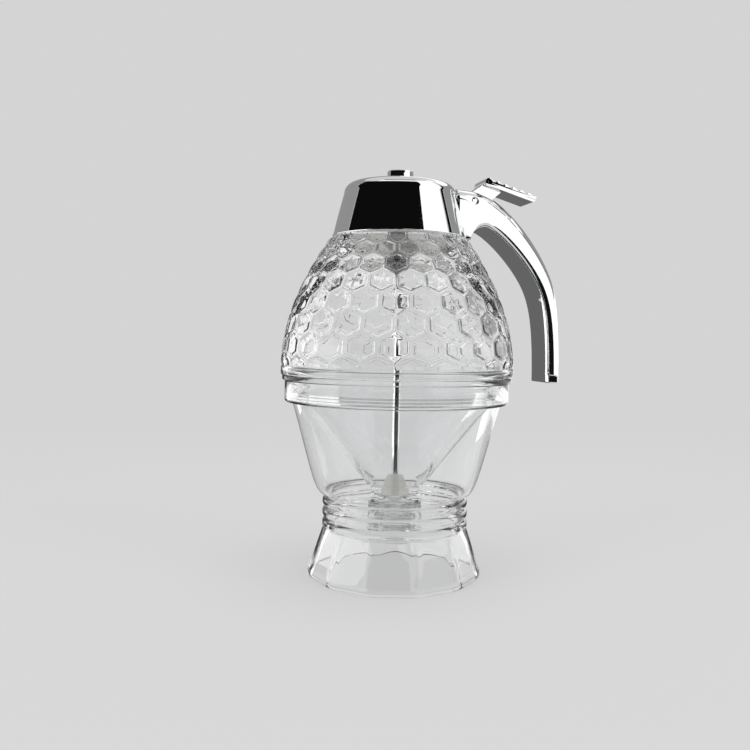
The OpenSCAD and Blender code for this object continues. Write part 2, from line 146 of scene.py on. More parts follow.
# %% [markdown]
# ## Clear plastic
# The jar and the stand are clear moulded plastic. A mix of glass and transparent shaders would
# do, but Principled with full transmission bends light through both walls, as the real part does.
# Real acrylic has an index of 1.49. A lower one of 1.34 to 1.42 keeps the outlines as pale as
# they look in even light. What tells plastic from nothing at all is the film of handling on it,
# so a soft noise lifts the roughness here and there, and a wider one waves the surface slightly.

# %% Clear plastic
POLISHED = 0.002                    # roughness where nothing has touched the plastic
NECK_TOP = 0.034                    # metres; the low parts are glossier than the bowl above


def clear_plastic(name, tint, haze, index, through=1.0, gloss=0.0):
    """gloss is a second, brighter reflection on what lies below the top of the neck."""
    finish = Finish(name)
    coat = 0.0
    if gloss:
        height = finish.node("ShaderNodeSeparateXYZ", None, {"Vector": finish.place()}, out="Z")
        coat = height.maths("LESS_THAN", NECK_TOP) * gloss
    smear = finish.ramp(finish.noise(0.022, 3.0), (0.45, 0.0), (0.75, 1.0))
    flow = finish.noise(0.013, 2.0, (1, 1, 0.35))
    return finish.surface(Base_Color=(*tint, 1), Roughness=smear * haze + POLISHED, IOR=index,
                          Transmission_Weight=through, Coat_Weight=coat, Coat_Roughness=0.01,
                          Normal=finish.bump(flow, 0.06, 0.0004))


jar_clear = clear_plastic("jar_clear", (0.99, 0.992, 0.992), 0.015, 1.42)
funnel_clear = clear_plastic("funnel_clear", (0.98, 0.985, 0.987), 0.02, 1.34)
stand_clear = clear_plastic("stand_clear", (0.99, 0.993, 0.995), 0.015, 1.36, gloss=0.7)
nozzle_clear = clear_plastic("nozzle_clear", (0.97, 0.977, 0.98), 0.04, 1.42, 0.97, 0.7)
print("clear finishes:", [m.name for m in bpy.data.materials if "clear" in m.name])

# %% [markdown]
# ## Chrome and steel
# The lid, handle and lever are plated plastic: mirror bright, with finger marks, and with a faint
# unevenness from the moulding below the plating. The rod is drawn stainless steel. A texture
# picture of scratches could do it, but a noise that is stretched along the rod needs no picture
# and has no seam. The boss round the rod gets a darker chrome colour, which is painted shade,
# because little light reaches it.

# %% Chrome and steel
def plated(name, shade, wave=0.05):
    finish = Finish(name)
    touch = finish.ramp(finish.noise(0.018, 4.0), (0.5, 0.0), (0.8, 1.0))
    ripple = finish.noise(0.012, 1.0)
    return finish.surface(Base_Color=(*shade, 1), Metallic=1.0, Roughness=touch * 0.05 + 0.035,
                          Normal=finish.bump(ripple, wave, 0.0005))


def drawn_steel(name, shade, stretch, rough):
    finish = Finish(name)
    lines = finish.noise(0.0006, 2.0, stretch)
    return finish.surface(Base_Color=(*shade, 1), Metallic=1.0, Roughness=lines * 0.06 + rough,
                          Normal=finish.bump(lines, 0.05, 0.00005))


chrome = plated("chrome_plating", (0.88, 0.885, 0.89))
# painted shade: the boss's chrome colour is darkened, where the lid shades it
boss_chrome_painted_shade = plated("boss_chrome_painted_shade", (0.40, 0.40, 0.41), 0.12)
rod_steel = drawn_steel("rod_steel", (0.84, 0.84, 0.83), (1, 1, 0.04), 0.02)
wire_steel = drawn_steel("wire_steel", (0.62, 0.62, 0.61), (1, 1, 1), 0.12)
print("metal finishes:", [m.name for m in (chrome, boss_chrome_painted_shade, rod_steel, wire_steel)])

# %% [markdown]
# ## White plastic and silicone
# The inner plug of the lid is plain white moulding with a fine eggshell grain. The stopper and the
# seal are milky silicone. Subsurface scattering would be the usual way, but it stays noisy behind
# four clear walls. A cloudy alpha lets a little of what lies behind show. A faint glow in each
# part's own colour is painted light: it stands for the light that goes in and comes out again,
# and the liner inside the lid, which sits in shade, gets the same glow.

# %% White plastic and silicone
# painted light: white moulding and silicone glow faintly, though none of them is a lamp
PAINTED_GLOW = 0.16


def moulded(name, shade):
    finish = Finish(name)
    grain = finish.noise(0.0009, 2.0)
    return finish.surface(Base_Color=(*shade, 1), Roughness=grain * 0.10 + 0.34,
                          # painted light: a faint glow in the moulding's own colour
                          Emission_Color=(*shade, 1), Emission_Strength=PAINTED_GLOW,
                          Normal=finish.bump(grain, 0.15, 0.00008))


def milky(name, shade, cover):
    """cover is the least part of what lies behind that the silicone hides."""
    finish = Finish(name)
    cloud = finish.noise(0.004, 2.0)
    made = finish.surface(Base_Color=(*shade, 1), Roughness=cloud * 0.14 + 0.26, IOR=1.41,
                          Alpha=cloud * 0.15 + cover,
                          # painted light: a faint glow in the silicone's own colour
                          Emission_Color=(*shade, 1), Emission_Strength=PAINTED_GLOW,
                          Normal=finish.bump(cloud, 0.08, 0.0002))
    made.surface_render_method = "BLENDED"
    return made


liner_white = moulded("liner_white", (0.84, 0.84, 0.82))
silicone = milky("silicone", (0.90, 0.885, 0.83), 0.42)
print("soft and white finishes:", [m.name for m in (liner_white, silicone)])

# %% [markdown]
# ## From mesh to piece
# Each piece is drawn with bmesh operators straight in its place, so its object stays at the
# origin. This helper turns a finished bmesh into an object with its material, which rides on its
# CAD body, and hides the CAD node that it replaces. Shading is smooth, apart from edges that are
# sharper than an angle, which is lighter than a modifier and exports as it is.

# %% Piece helper
WELD = 1e-6                         # metres; vertices closer than this are one
FINE_WELD = 1e-7


def mesh_object(name, bm, material):
    """Ends a bmesh in an object of this name and finish."""
    mesh = bpy.data.meshes.new(name)
    bm.to_mesh(mesh)
    bm.free()
    mesh.materials.append(material)
    made = bpy.data.objects.new(name, mesh)
    bpy.context.scene.collection.objects.link(made)
    return made


def piece(name, bm, material, body, node, sharp=32):
    """sharp is the angle in degrees above which an edge isn't shaded smooth."""
    bmesh.ops.remove_doubles(bm, verts=bm.verts[:], dist=WELD)
    bmesh.ops.recalc_face_normals(bm, faces=bm.faces[:])
    made = mesh_object(name, bm, material)
    made.data.shade_smooth()
    made.data.set_sharp_from_angle(angle=math.radians(sharp))
    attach(made, body)
    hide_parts(node)
    made.data.calc_loop_triangles()
    print(f"{name}: {len(made.data.loop_triangles)} triangles")
    return made


# %% [markdown]
# ## Spun pieces
# Most pieces are round. A Screw modifier would turn a profile too, but the spin operator gives a
# mesh that can be worked on further. The half outline is drawn in millimetres as one flat face,
# its corners are rounded with a vertex bevel, and the outline is spun round the axis. Each point
# is a radius and a height, and a third number beside them is the radius of its corner.

# %% Spun pieces
def spun(outline, steps=120, arcs=4):
    bm = bmesh.new()
    corners = [bm.verts.new((p[0] * MM, 0, p[1] * MM)) for p in outline]
    bm.faces.new(corners)
    for size in sorted({p[2] for p in outline if len(p) > 2}):
        chosen = [v for v, p in zip(corners, outline) if len(p) > 2 and p[2] == size]
        bmesh.ops.bevel(bm, geom=chosen, offset=size * MM, offset_type="OFFSET", segments=arcs,
                        profile=0.5, affect="VERTICES", material=-1, clamp_overlap=True)
    bmesh.ops.delete(bm, geom=bm.faces[:], context="FACES_ONLY")
    on_axis = [e for e in bm.edges if all(abs(v.co.x) < FINE_WELD for v in e.verts)]
    bmesh.ops.delete(bm, geom=on_axis, context="EDGES")
    bmesh.ops.spin(bm, geom=bm.verts[:] + bm.edges[:], cent=(0, 0, 0), axis=(0, 0, 1),
                   angle=math.tau, steps=steps, use_merge=True)
    bmesh.ops.remove_doubles(bm, verts=bm.verts[:], dist=FINE_WELD)
    return bm


def bezier(p, t):
    """Point of a cubic curve, in millimetres, as in the CAD source."""
    p = [np.array(q, float) for q in p]
    s = 1 - t
    return p[0] * s ** 3 + 3 * p[1] * t * s ** 2 + 3 * p[2] * t * t * s + p[3] * t ** 3


def curve(p, n, first=0):
    """A cubic curve cut in n steps, from the point with number first."""
    return [tuple(bezier(p, i / n)) for i in range(first, n + 1)]


print("half way along a straight curve:", curve([(0, 0), (1, 1), (2, 2), (3, 3)], 2)[1])

# %% [markdown]
# ## Ring by ring
# A shape that isn't round, or changes as it goes, could be a loft of curves. Here it grows ring by
# ring: the open edge is extruded in place, and each new vertex is then moved to where the next
# ring wants it. That keeps the mesh in clean bands of four-sided faces.

# %% Ring by ring
def grow(bm, edges, place):
    """Extrudes a loop of edges, moves each new vertex by place(old vertex), gives the new loop."""
    made = bmesh.ops.extrude_edge_only(bm, edges=edges)["geom"]
    new = {g for g in made if isinstance(g, bmesh.types.BMVert)}
    spots = {}
    for edge in edges:
        for old in edge.verts:
            for link in old.link_edges:
                other = link.other_vert(old)
                if other in new:
                    spots[other] = place(old)
    for vert, spot in spots.items():
        vert.co = spot
    return [g for g in made
            if isinstance(g, bmesh.types.BMEdge) and all(v in new for v in g.verts)]


def boundary(bm):
    return [e for e in bm.edges if e.is_boundary]


print("ring helper ready")

# %% [markdown]
# ## The honeycomb jar
# The dome has twenty-four raised hexagons to a row, each row half a cell on from the last. A bump
# texture would leave the outline smooth, so the cells are real geometry. One cell is modelled
# flat: a six-sided disc, inset again and again, so that a flat band, a steep flank and a soft
# shoulder follow each other. Three smaller and smaller extrusions then make the low crown.

# %% One cell
CELLS = 24
PITCH, ROW = 12.0, 8.6              # mm between cells and between rows
PAD = 0.35                          # mm from the groove to the pad's shoulder
INSETS = ((0.85, 0.0), (0.13, 0.07), (0.19, 0.21), (0.13, 0.07))    # mm in and up: the flank
CROWN_RINGS = ((0.78, 0.05), (0.66, 0.05), (0.5, 0.03))             # scale, and mm up


def honey_cell():
    bm = bmesh.new()
    bmesh.ops.create_circle(bm, cap_ends=True, segments=6, radius=PITCH / math.sqrt(3))
    bmesh.ops.scale(bm, vec=(1, ROW / (PITCH * math.sqrt(3) / 2), 1), verts=bm.verts[:])
    bmesh.ops.subdivide_edges(bm, edges=bm.edges[:], cuts=3)
    face = bm.faces[:]
    for wide, rise in INSETS:
        bmesh.ops.inset_individual(bm, faces=face, thickness=wide, depth=rise,
                                   use_even_offset=True)
    for shrink, rise in CROWN_RINGS:
        face = bmesh.ops.extrude_discrete_faces(bm, faces=face)["faces"]
        bmesh.ops.scale(bm, vec=(shrink, shrink, 1), verts=face[0].verts[:])
        bmesh.ops.translate(bm, vec=(0, 0, rise), verts=face[0].verts[:])
    bmesh.ops.poke(bm, faces=face)
    return bm


cell = honey_cell()
print("one cell:", len(cell.faces), "faces,", round(max(v.co.z for v in cell.verts), 2), "mm high")

# %% [markdown]
# The cell is copied into a sheet, and the sheet is wrapped round the dome. The wrap turns a place
# on the sheet into an angle, a height and a distance out from the dome's curve. The rows get
# closer towards the shoulder, because the dome narrows there, so a polynomial through measured
# heights gives each row its place. Higher rows also have rounder pads.

# %% Wrap the sheet
DOME = [(47.4, 84.0), (47.4, 105.6), (36.9, 123.64), (27.9, 137.0)]
ROW_HEIGHTS = [85.0, 92.9, 101.1, 109.7, 117.4, 124.1, 130.1, 135.0]
ROWS_Z = np.polyfit(np.arange(-1, 7), ROW_HEIGHTS, 4)
FACE_ANGLE = math.radians(-107.3)   # where the middle cell of the front stands
SHOULDER, SHOULDER_SLOPE = 137.0, 0.67      # above this height the sheet runs straight in
FADE_LOW, FADE_HIGH = 85.2, 136.3   # outside these heights the pads are level with the groove
FADE_IN, FADE_OUT = 0.8, 0.5        # mm over which they rise and sink
CROWN_GAIN, CROWN_MOST = 0.9, 2.2   # how much a crown grows with each row, and the most
dome_line = np.array(curve(DOME, 240))


def dome_radius(z):
    return float(np.interp(z, dome_line[:, 1], dome_line[:, 0]))


def dome_place(x, y, rise):
    """Sheet place in mm to a point on the dome."""
    row = y / ROW
    z = float(np.polyval(ROWS_Z, row))
    r = dome_radius(z)
    if z > SHOULDER:
        r -= (z - SHOULDER) * SHOULDER_SLOPE
    slope = (dome_radius(z + 0.5) - r) / 0.5 if z < SHOULDER - 1 else -SHOULDER_SLOPE
    fade = min(1, max(0, (z - FADE_LOW) / FADE_IN)) * min(1, max(0, (FADE_HIGH - z) / FADE_OUT))
    crown = min(CROWN_MOST, CROWN_GAIN * max(0, row))
    rise = (min(rise, PAD) + max(0, rise - PAD) * crown) * fade
    out = Vector((1, 0, -slope)).normalized()
    r, z = r - PAD + rise * out.x, z + rise * out.z
    angle = FACE_ANGLE + x / PITCH * math.tau / CELLS
    return Vector((r * math.cos(angle), r * math.sin(angle), z)) * MM


print("first row at", np.round(np.array(dome_place(0, 0, 0)) / MM, 1), "mm")

# %% [markdown]
# The wrapped sheet is cut level at both ends. From its upper edge the wall grows over the mouth
# and down the smooth inside, and a bridge closes it to the lower edge. A Solidify modifier would
# copy the cells to the inside, and the real inside is plain.

# %% Dome
DOME_IN = [(45.0, 84.0), (45.0, 104.52), (32.4, 122.44), (18.1, 134.6)]
SHEET_LOW, SHEET_HIGH = 84.6, 136.6
MOUTH = [(27.8, 137.0), (20.8, 137.0), (20.5, 137.3), (20.5, 141.2), (20.3, 141.4),
         (18.3, 141.4), (18.1, 141.2), (18.1, 134.8)]
FOOT = [(45.0, 81.1), (45.1, 81.0), (46.7, 81.0), (47.2, 81.2), (47.4, 81.7), (47.4, 83.9),
        (47.33, 84.3)]


def everything(bm):
    return bm.verts[:] + bm.edges[:] + bm.faces[:]


def copied(bm, geom, shift):
    copy = bmesh.ops.duplicate(bm, geom=geom)["geom"]
    bmesh.ops.translate(bm, verts=[g for g in copy if isinstance(g, bmesh.types.BMVert)],
                        vec=shift)


def ring_at(r, z):
    """Places a vertex at this radius and height, at the angle it already has."""
    def put(vert):
        flat = Vector((vert.co.x, vert.co.y, 0)).normalized() * r * MM
        return Vector((flat.x, flat.y, z * MM))
    return put


def honey_dome(bm):
    geom = everything(bm)
    for column in range(1, CELLS):
        copied(bm, geom, (PITCH * column, 0, 0))
    geom = everything(bm)
    for row in (-2, -1, 1, 2, 3, 4, 5, 6, 7):
        copied(bm, geom, (PITCH / 2 * (row % 2), ROW * row, 0))
    for vert in bm.verts:
        vert.co = dome_place(*vert.co)
    bmesh.ops.remove_doubles(bm, verts=bm.verts[:], dist=2e-5)
    for z, side in ((SHEET_LOW, -1), (SHEET_HIGH, 1)):
        bmesh.ops.bisect_plane(bm, geom=everything(bm), dist=FINE_WELD, clear_outer=True,
                               plane_co=(0, 0, z * MM), plane_no=(0, 0, side))
    middle = (SHEET_LOW + SHEET_HIGH) / 2 * MM
    low = [e for e in boundary(bm) if e.verts[0].co.z < middle]
    high = [e for e in boundary(bm) if e.verts[0].co.z > middle]
    for r, z in MOUTH + curve(DOME_IN, 18)[::-1] + FOOT:
        high = grow(bm, high, ring_at(r, z))
    bmesh.ops.bridge_loops(bm, edges=low + high)
    return bm


piece("dome_honeycomb", honey_dome(cell), jar_clear, "jar", "dome", sharp=50)

# %% [markdown]
# ## Funnel and nozzle
# Below the dome a straight cone leads to a short spout with a screwed tail. The nozzle is a thick
# clear ring on that tail, and the thread shows through it as fine dark ticks. A true helix would
# be one more spin with a lift, but five plain grooves look the same through a clear wall.

# %% Funnel and nozzle
def groove(low):
    """One turn of the thread on the tail, from this height."""
    return [(8.6, low), (8.15, low + 0.35), (8.15, low + 0.7), (8.6, low + 1.05)]


thread = [point for turn in range(5) for point in groove(20.6 + 1.55 * turn)]
funnel_line = ([(5.2, 19.8, 0.2), (8.6, 19.8, 0.2)] + thread + [(8.6, 28.5), (10.0, 28.5, 0.4),
               (10.0, 36.7, 0.5), (12.0, 37.2, 1.2), (43.55, 76.9, 0.8), (43.55, 79.1, 0.3),
               (46.8, 79.1, 0.4), (46.8, 80.97, 0.3), (44.97, 80.97), (44.97, 83.6, 0.3),
               (43.57, 83.6, 0.4), (41.15, 79.5, 1.0), (41.15, 77.5, 0.8), (8.95, 37.8, 0.6),
               (7.6, 36.6, 0.3), (7.6, 33.2, 0.3), (6.0, 32.4), (5.2, 31.8)])
piece("funnel_cone", spun(funnel_line, 144), funnel_clear, "jar", "funnel")
nozzle_line = [(5.0, 16.4, 0.4), (11.1, 16.4, 1.0), (11.1, 28.47, 0.9), (8.63, 28.47, 0.2),
               (8.63, 19.77, 0.2), (5.0, 19.77, 0.3)]
piece("nozzle_ring", spun(nozzle_line, 96, 6), nozzle_clear, "jar", "nozzle")

# %% [markdown]
# ## Stand
# One clear moulding: a skirt with twelve flat facets, a neck with three rings, a bowl, and a rim
# with three beads inside. The facets could be cut with planes, but then every ring would need its
# own cut. The stand is spun as a round body instead, and the skirt's vertices are pushed out
# towards the corners of a twelve-sided outline, each corner slightly blunt, as a mould leaves it.

# %% Stand
SKIRT_TOP = 20.0                    # mm; the neck's first ring starts here
RING_R, NECK_R, RING_STEP = 29.6, 28.0, 4.4         # mm; rings, grooves, and one to the next
BOWL = [(29.6, 33.2), (33.4, 33.6), (35.2, 45.2), (42.6, 70.3)]
BOWL_WALL = (-2.2, 0.55)            # mm in and up from the bowl's outside to its inside
INSIDE_TOP, INSIDE_R = 18.2, 25.8   # mm; the skirt's inside widens below this height


def stand_outline():
    outer = [(32.5, 0.0, 0.3), (33.2, 0.05), (33.8, 0.4), (34.3, 1.0), (34.6, 1.8), (34.7, 2.7)]
    outer += [(34.7 - 5.7 * (z - 3.0) / 17.0, z) for z in (4.0, 8.0, 12.0, 16.0)]
    outer += [(29.0, SKIRT_TOP)]
    for ring in range(3):
        low = SKIRT_TOP + RING_STEP * ring
        outer += [(RING_R, low + 0.02, 1.1), (RING_R, low + 2.73, 1.25), (NECK_R, low + 3.08, 0.3)]
        if ring < 2:
            outer += [(NECK_R, low + 4.36, 0.3)]
    outer += [(NECK_R, 33.2, 0.3)]
    bowl = curve(BOWL, 24)
    outer += bowl[:-1] + [(42.6, 70.3, 0.5), (45.7, 70.3, 1.0), (45.7, 79.1, 0.6),
                          (43.9, 79.1, 0.5)]
    for bead in (3, 2, 1):
        z = 70.3 + 1.2 * bead
        outer += [(43.9, z + 0.5), (43.7, z + 0.38), (43.7, z + 0.12), (43.9, z)]
    inner = [(43.9, 71.5, 0.1), (40.4, 71.5, 0.4)]
    inner += [(r + BOWL_WALL[0], z + BOWL_WALL[1]) for r, z in bowl[-2:0:-1]]
    inner += [(INSIDE_R, 33.3, 0.8), (INSIDE_R, INSIDE_TOP, 0.6)]
    inner += [(INSIDE_R + 6.7 * (INSIDE_TOP - z) / INSIDE_TOP, z) for z in (14.0, 10.0, 6.0, 3.0)]
    return outer + inner


def facet(angle):
    """How far a blunt twelve-sided outline stands out from the circle inside it."""
    off = math.radians(abs(math.degrees(angle) % 30 - 15))
    return min(1 / math.cos(off), 0.988 / math.cos(math.radians(15)))


def clear_stand():
    bm = spun(stand_outline(), 240, 5)
    for vert in bm.verts:
        r, z = math.hypot(vert.co.x, vert.co.y) / MM, vert.co.z / MM
        outer = r > NECK_R + 0.2 and z < SKIRT_TOP + 1e-3
        inner = z < INSIDE_TOP - 0.1 and not outer
        if outer or inner:
            stretch = facet(math.atan2(vert.co.y, vert.co.x))
            if inner:
                stretch = 1 + (stretch - 1) * min(1, (INSIDE_TOP - z) / 3)
            vert.co.x, vert.co.y = vert.co.x * stretch, vert.co.y * stretch
    return bm


piece("stand_moulding", clear_stand(), stand_clear, "stand", "stand", sharp=25)

# %% [markdown]
# ## Lid
# The chrome shell is a short cone with a rounded shoulder. An opening in its side, behind the root
# of the handle, lets the lever in. A boolean would cut it, but long thin triangles round a hole
# show in a mirror finish. So the spun grid is cut along the opening's edges with planes, the
# faces inside are removed, and the outer and inner walls are bridged.

# %% Lid shell
SLOT_Y, SLOT_LOW, SLOT_HIGH = 5.6, 147.3, 154.7     # mm; the opening's half width and heights


def cap_radius(z):
    return 27.6 - 4.7 * (z - 137.3) / 18.0


def lid_shell():
    line = [(26.0, 137.3, 0.3), (27.6, 137.3, 0.4), (22.9, 155.3, 0.6)]
    line += [(18.9 + 4 * math.cos(a), 155.3 + 4 * math.sin(a))
             for a in np.radians(np.arange(7.5, 90, 7.5))]
    line += [(18.9, 159.3), (2.93, 159.3, 0.2), (2.93, 157.5), (18.3, 157.5, 1.0),
             (21.3, 155.3, 0.8)]
    bm = spun(line, 168)
    for point, normal in (((0, SLOT_Y, 0), (0, 1, 0)), ((0, -SLOT_Y, 0), (0, 1, 0)),
                          ((0, 0, SLOT_LOW), (0, 0, 1)), ((0, 0, SLOT_HIGH), (0, 0, 1))):
        side = [f for f in bm.faces if f.calc_center_median().x > 14 * MM]
        near = list({g for f in side for g in [*f.verts, *f.edges]}) + side
        bmesh.ops.bisect_plane(bm, geom=near, plane_co=Vector(point) * MM, plane_no=normal,
                               dist=WELD)
    hole = [f for f in bm.faces if f.calc_center_median().x > 16 * MM
            and abs(f.calc_center_median().y) < SLOT_Y * MM
            and SLOT_LOW * MM < f.calc_center_median().z < SLOT_HIGH * MM]
    bmesh.ops.delete(bm, geom=hole, context="FACES")
    bmesh.ops.bridge_loops(bm, edges=boundary(bm))
    return bm


piece("lid_shell", lid_shell(), chrome, "lid", "cap_shell")

# %% [markdown]
# ## Button, rod and stopper
# They are one plunger: a chrome button above the lid, a drawn rod and a rubber bell on the drain.
# All three are round, so they are spun. An outline that starts and ends on the axis closes itself.

# %% Plunger
ROD_R, ROD_TIP, ROD_TOP = 1.5, 30.6, 163.3
button_line = [(0, 159.55), (5.35, 159.55, 0.5), (5.35, 165.0, 0.7), (0, 165.0)]
rod_line = [(0, ROD_TIP), (ROD_R, 33.0, 0.2), (ROD_R, ROD_TOP, 0.1), (0, ROD_TOP)]
bell_line = [(0, 29.0), (1.4, 29.0, 0.4), (3.6, 31.2, 0.6), (4.5, 31.99), (5.8, 32.29, 0.2),
             (5.8, 33.6, 0.6), (5.3, 35.7, 0.8), (4.3, 38.6, 0.8), (3.5, 41.1, 0.4),
             (3.0, 41.6, 0.3), (1.53, 41.6), (1.53, 33.0), (0, 30.57)]
piece("button_cap", spun(button_line, 72, 6), chrome, "plunger", "button")
piece("rod_drawn", spun(rod_line, 40), rod_steel, "plunger", "rod")
piece("stopper_bell", spun(bell_line, 60), silicone, "plunger", "stopper")

# %% [markdown]
# ## Handle
# A curved grip with a flat inner face and a rounded back. A curve with a bevel object would keep
# one section all the way, and this one changes: its depth, and the height of its straight sides.
# So the section is drawn once and carried along the inner and outer curves, station by station.

# %% Handle's section
INNER = [[(28.2, 137.4), (28.6, 141.0), (31.5, 143.2), (35.0, 143.0)],
         [(35.0, 143.0), (41.5, 141.2), (55.5, 127.5), (60.0, 116.9)],
         [(60.0, 116.9), (63.4, 108.9), (64.6, 98.9), (64.6, 78.4)]]
CROWN = [[(23.9, 159.0), (27.9, 159.0), (33.0, 158.7), (36.5, 157.4)],
         [(36.5, 157.4), (47.0, 154.1), (63.0, 136.4), (67.8, 120.1)],
         [(67.8, 120.1), (69.6, 112.9), (70.4, 101.9), (70.4, 78.4)]]
STATIONS = (8, 22, 16)              # steps along the root, the bend and the straight end
FULL_FORM = STATIONS[0] + 5         # from this station on, the handle is clear of the lever
HALF_WIDTH = 9.25
LIP = [(-8.1, 0), (-8.45, 0.08), (-8.65, 0.3), (-8.73, 0.55), (-9.1, 1.9), (-9.22, 2.5),
       (-9.25, 2.9)]                # the rounded edge of the inner face: across and out, in mm
BACK_STEPS = 24


def along(curves, root):
    steps = zip(curves, STATIONS, (0, 1, 1))
    return [root] + [point for p, n, first in steps for point in curve(p, n, first)]


def handle_rings():
    inner, crown = along(INNER, (22.9, 137.4)), along(CROWN, (22.9, 159.0))
    rings = []
    for i, (a, b) in enumerate(zip(inner, crown)):
        a, b = np.array(a), np.array(b)
        full = float(np.linalg.norm(b - a))
        out = (b - a) / full
        clear = min(1, i / FULL_FORM) ** 1.5                    # 0 at the root, 1 in full form
        ending = max(0, (i - sum(STATIONS[:2])) / STATIONS[2])  # 1 at the free end
        side = (full - 5.5) * (1 - clear) + min(4.2 - 0.7 * ending, full * 0.75) * clear
        back = [math.pi * j / BACK_STEPS for j in range(BACK_STEPS + 1)]
        ring = LIP + [(-HALF_WIDTH * math.cos(t), side + (full - side) * math.sin(t))
                      for t in back]
        ring += [(-y, d) for y, d in LIP[::-1]]
        rings.append([Vector((a[0] + out[0] * d, y, a[1] + out[1] * d)) * MM for y, d in ring])
    return rings


def carried(rings):
    """A section carried from ring to ring, closed by a face at both ends."""
    bm = bmesh.new()
    verts = [bm.verts.new(p) for p in rings[0]]
    first = edges = [bm.edges.new((a, b)) for a, b in zip(verts, verts[1:] + verts[:1])]
    for before, ring in zip(rings, rings[1:]):
        pairs = list(zip(before, ring))
        edges = grow(bm, edges,
                     lambda v: min(pairs, key=lambda p: (p[0] - v.co).length_squared)[1])
    for loop in (first, edges):
        bmesh.ops.contextual_create(bm, geom=loop)
    bmesh.ops.recalc_face_normals(bm, faces=bm.faces[:])
    return bm


grip = carried(handle_rings())
print("handle's stations:", sum(STATIONS) + 2, "faces:", len(grip.faces))

# %% [markdown]
# Three things are taken out of the solid grip: the lid's cone, so that the root fits against it,
# the lever's slot, and the hole for the pivot pin. These shapes cross at odd angles, where no grid
# line can follow, so here an exact boolean is the right tool. It is applied at once, and its
# helper objects are removed.

# %% Cutting tools
def block(bm, low, high):
    """A box between two corners in millimetres."""
    made = bmesh.ops.create_cube(bm, size=1)["verts"]
    size = [h - l for l, h in zip(low, high)]
    middle = [(h + l) / 2 for l, h in zip(low, high)]
    bmesh.ops.scale(bm, vec=Vector(size) * MM, verts=made)
    bmesh.ops.translate(bm, vec=Vector(middle) * MM, verts=made)


def cone(bm, r1, r2, low, high, steps):
    made = bmesh.ops.create_cone(bm, cap_ends=True, segments=steps, radius1=r1 * MM,
                                 radius2=r2 * MM, depth=(high - low) * MM)["verts"]
    bmesh.ops.translate(bm, vec=(0, 0, (high + low) / 2 * MM), verts=made)
    return made


QUARTER_TURN = Quaternion((1, 0, 0), math.pi / 2).to_matrix()


def across(bm, radius, x, z, half, steps=32):
    """A pin along Y."""
    made = cone(bm, radius, radius, -half, half, steps)
    bmesh.ops.rotate(bm, verts=made, cent=(0, 0, 0), matrix=QUARTER_TURN)
    bmesh.ops.translate(bm, vec=Vector((x, 0, z)) * MM, verts=made)


def cut(bm, cutter):
    """The first mesh with the second taken out of it."""
    parts = []
    for name, source in (("whole", bm), ("tool", cutter)):
        mesh = bpy.data.meshes.new(name)
        source.to_mesh(mesh)
        source.free()
        parts.append(bpy.data.objects.new(name, mesh))
        bpy.context.scene.collection.objects.link(parts[-1])
    boolean = parts[0].modifiers.new("cut", "BOOLEAN")
    boolean.object, boolean.operation, boolean.solver = parts[1], "DIFFERENCE", "EXACT"
    evaluated = parts[0].evaluated_get(bpy.context.evaluated_depsgraph_get())
    result = bmesh.new()
    result.from_mesh(evaluated.to_mesh())
    for part in parts:
        mesh = part.data
        bpy.data.objects.remove(part)
        bpy.data.meshes.remove(mesh)
    return result


print("cutting tools ready")

# %% Handle
HANDLE_END = 78.4                   # mm above the floor
LID_GAP = 0.03                      # mm between the root and the lid's shell
PIVOT_X, PIVOT_Z, PIN_HOLE_R = 29.8, 153.5, 1.62
LEVER_SLOT = ((15.8, -3.25, 147.2), (36.0, 3.25, 175.0))    # its lowest and highest corners
SLOT_END = 42.3                     # its outer end leans out to this, as the lever does


def cut_grip(bm):
    end = [f for f in bm.faces if f.calc_center_median().z < (HANDLE_END + 0.1) * MM]
    rim = list({e for f in end for e in f.edges})
    bmesh.ops.bevel(bm, geom=rim, offset=1.3 * MM, offset_type="OFFSET", segments=5, profile=0.5,
                    affect="EDGES", material=-1, clamp_overlap=True)
    lid = bmesh.new()
    low, high = 134.3, 162.3
    cone(lid, cap_radius(low) + LID_GAP, cap_radius(high) + LID_GAP, low, high, 192)
    bm = cut(bm, lid)
    slot = bmesh.new()
    block(slot, *LEVER_SLOT)
    for vert in slot.verts:
        if vert.co.x > 30 * MM and vert.co.z > 150 * MM:
            vert.co.x = SLOT_END * MM
    across(slot, PIN_HOLE_R, PIVOT_X, PIVOT_Z, 12)
    return cut(bm, slot)


piece("handle_grip", cut_grip(grip), chrome, "lid", "handle", sharp=28)

# %% [markdown]
# ## Lever and small parts
# These CAD shapes are right but have knife edges, and a real edge always catches a line of light.
# A Bevel modifier would trip over the loose triangles of a CAD mesh. So a copy is merged, its flat
# faces are joined again, and only its sharp edges get a narrow bevel.

# %% Bevelled copies
def softened(node, name, material, body, edge):
    """edge is the width of the bevel in millimetres."""
    bm = bmesh.new()
    bm.from_mesh(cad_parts[node].data)
    bmesh.ops.remove_doubles(bm, verts=bm.verts[:], dist=2 * WELD)
    bmesh.ops.dissolve_limit(bm, angle_limit=math.radians(1), verts=bm.verts[:],
                             edges=bm.edges[:])
    sharp = [e for e in bm.edges
             if len(e.link_faces) == 2 and e.calc_face_angle() > math.radians(28)]
    bmesh.ops.bevel(bm, geom=sharp, offset=edge * MM, offset_type="OFFSET", segments=3,
                    profile=0.5, affect="EDGES", material=-1, clamp_overlap=True)
    piece(name, bm, material, body, node)


softened("trigger", "lever_plated", chrome, "lever", 0.22)

# %% [markdown]
# The boss that guides the rod is turned with steps, which give the dark cells below the lid their
# sparkle. The liner, the seal and the roof's bush are plain rings, and are spun as well.

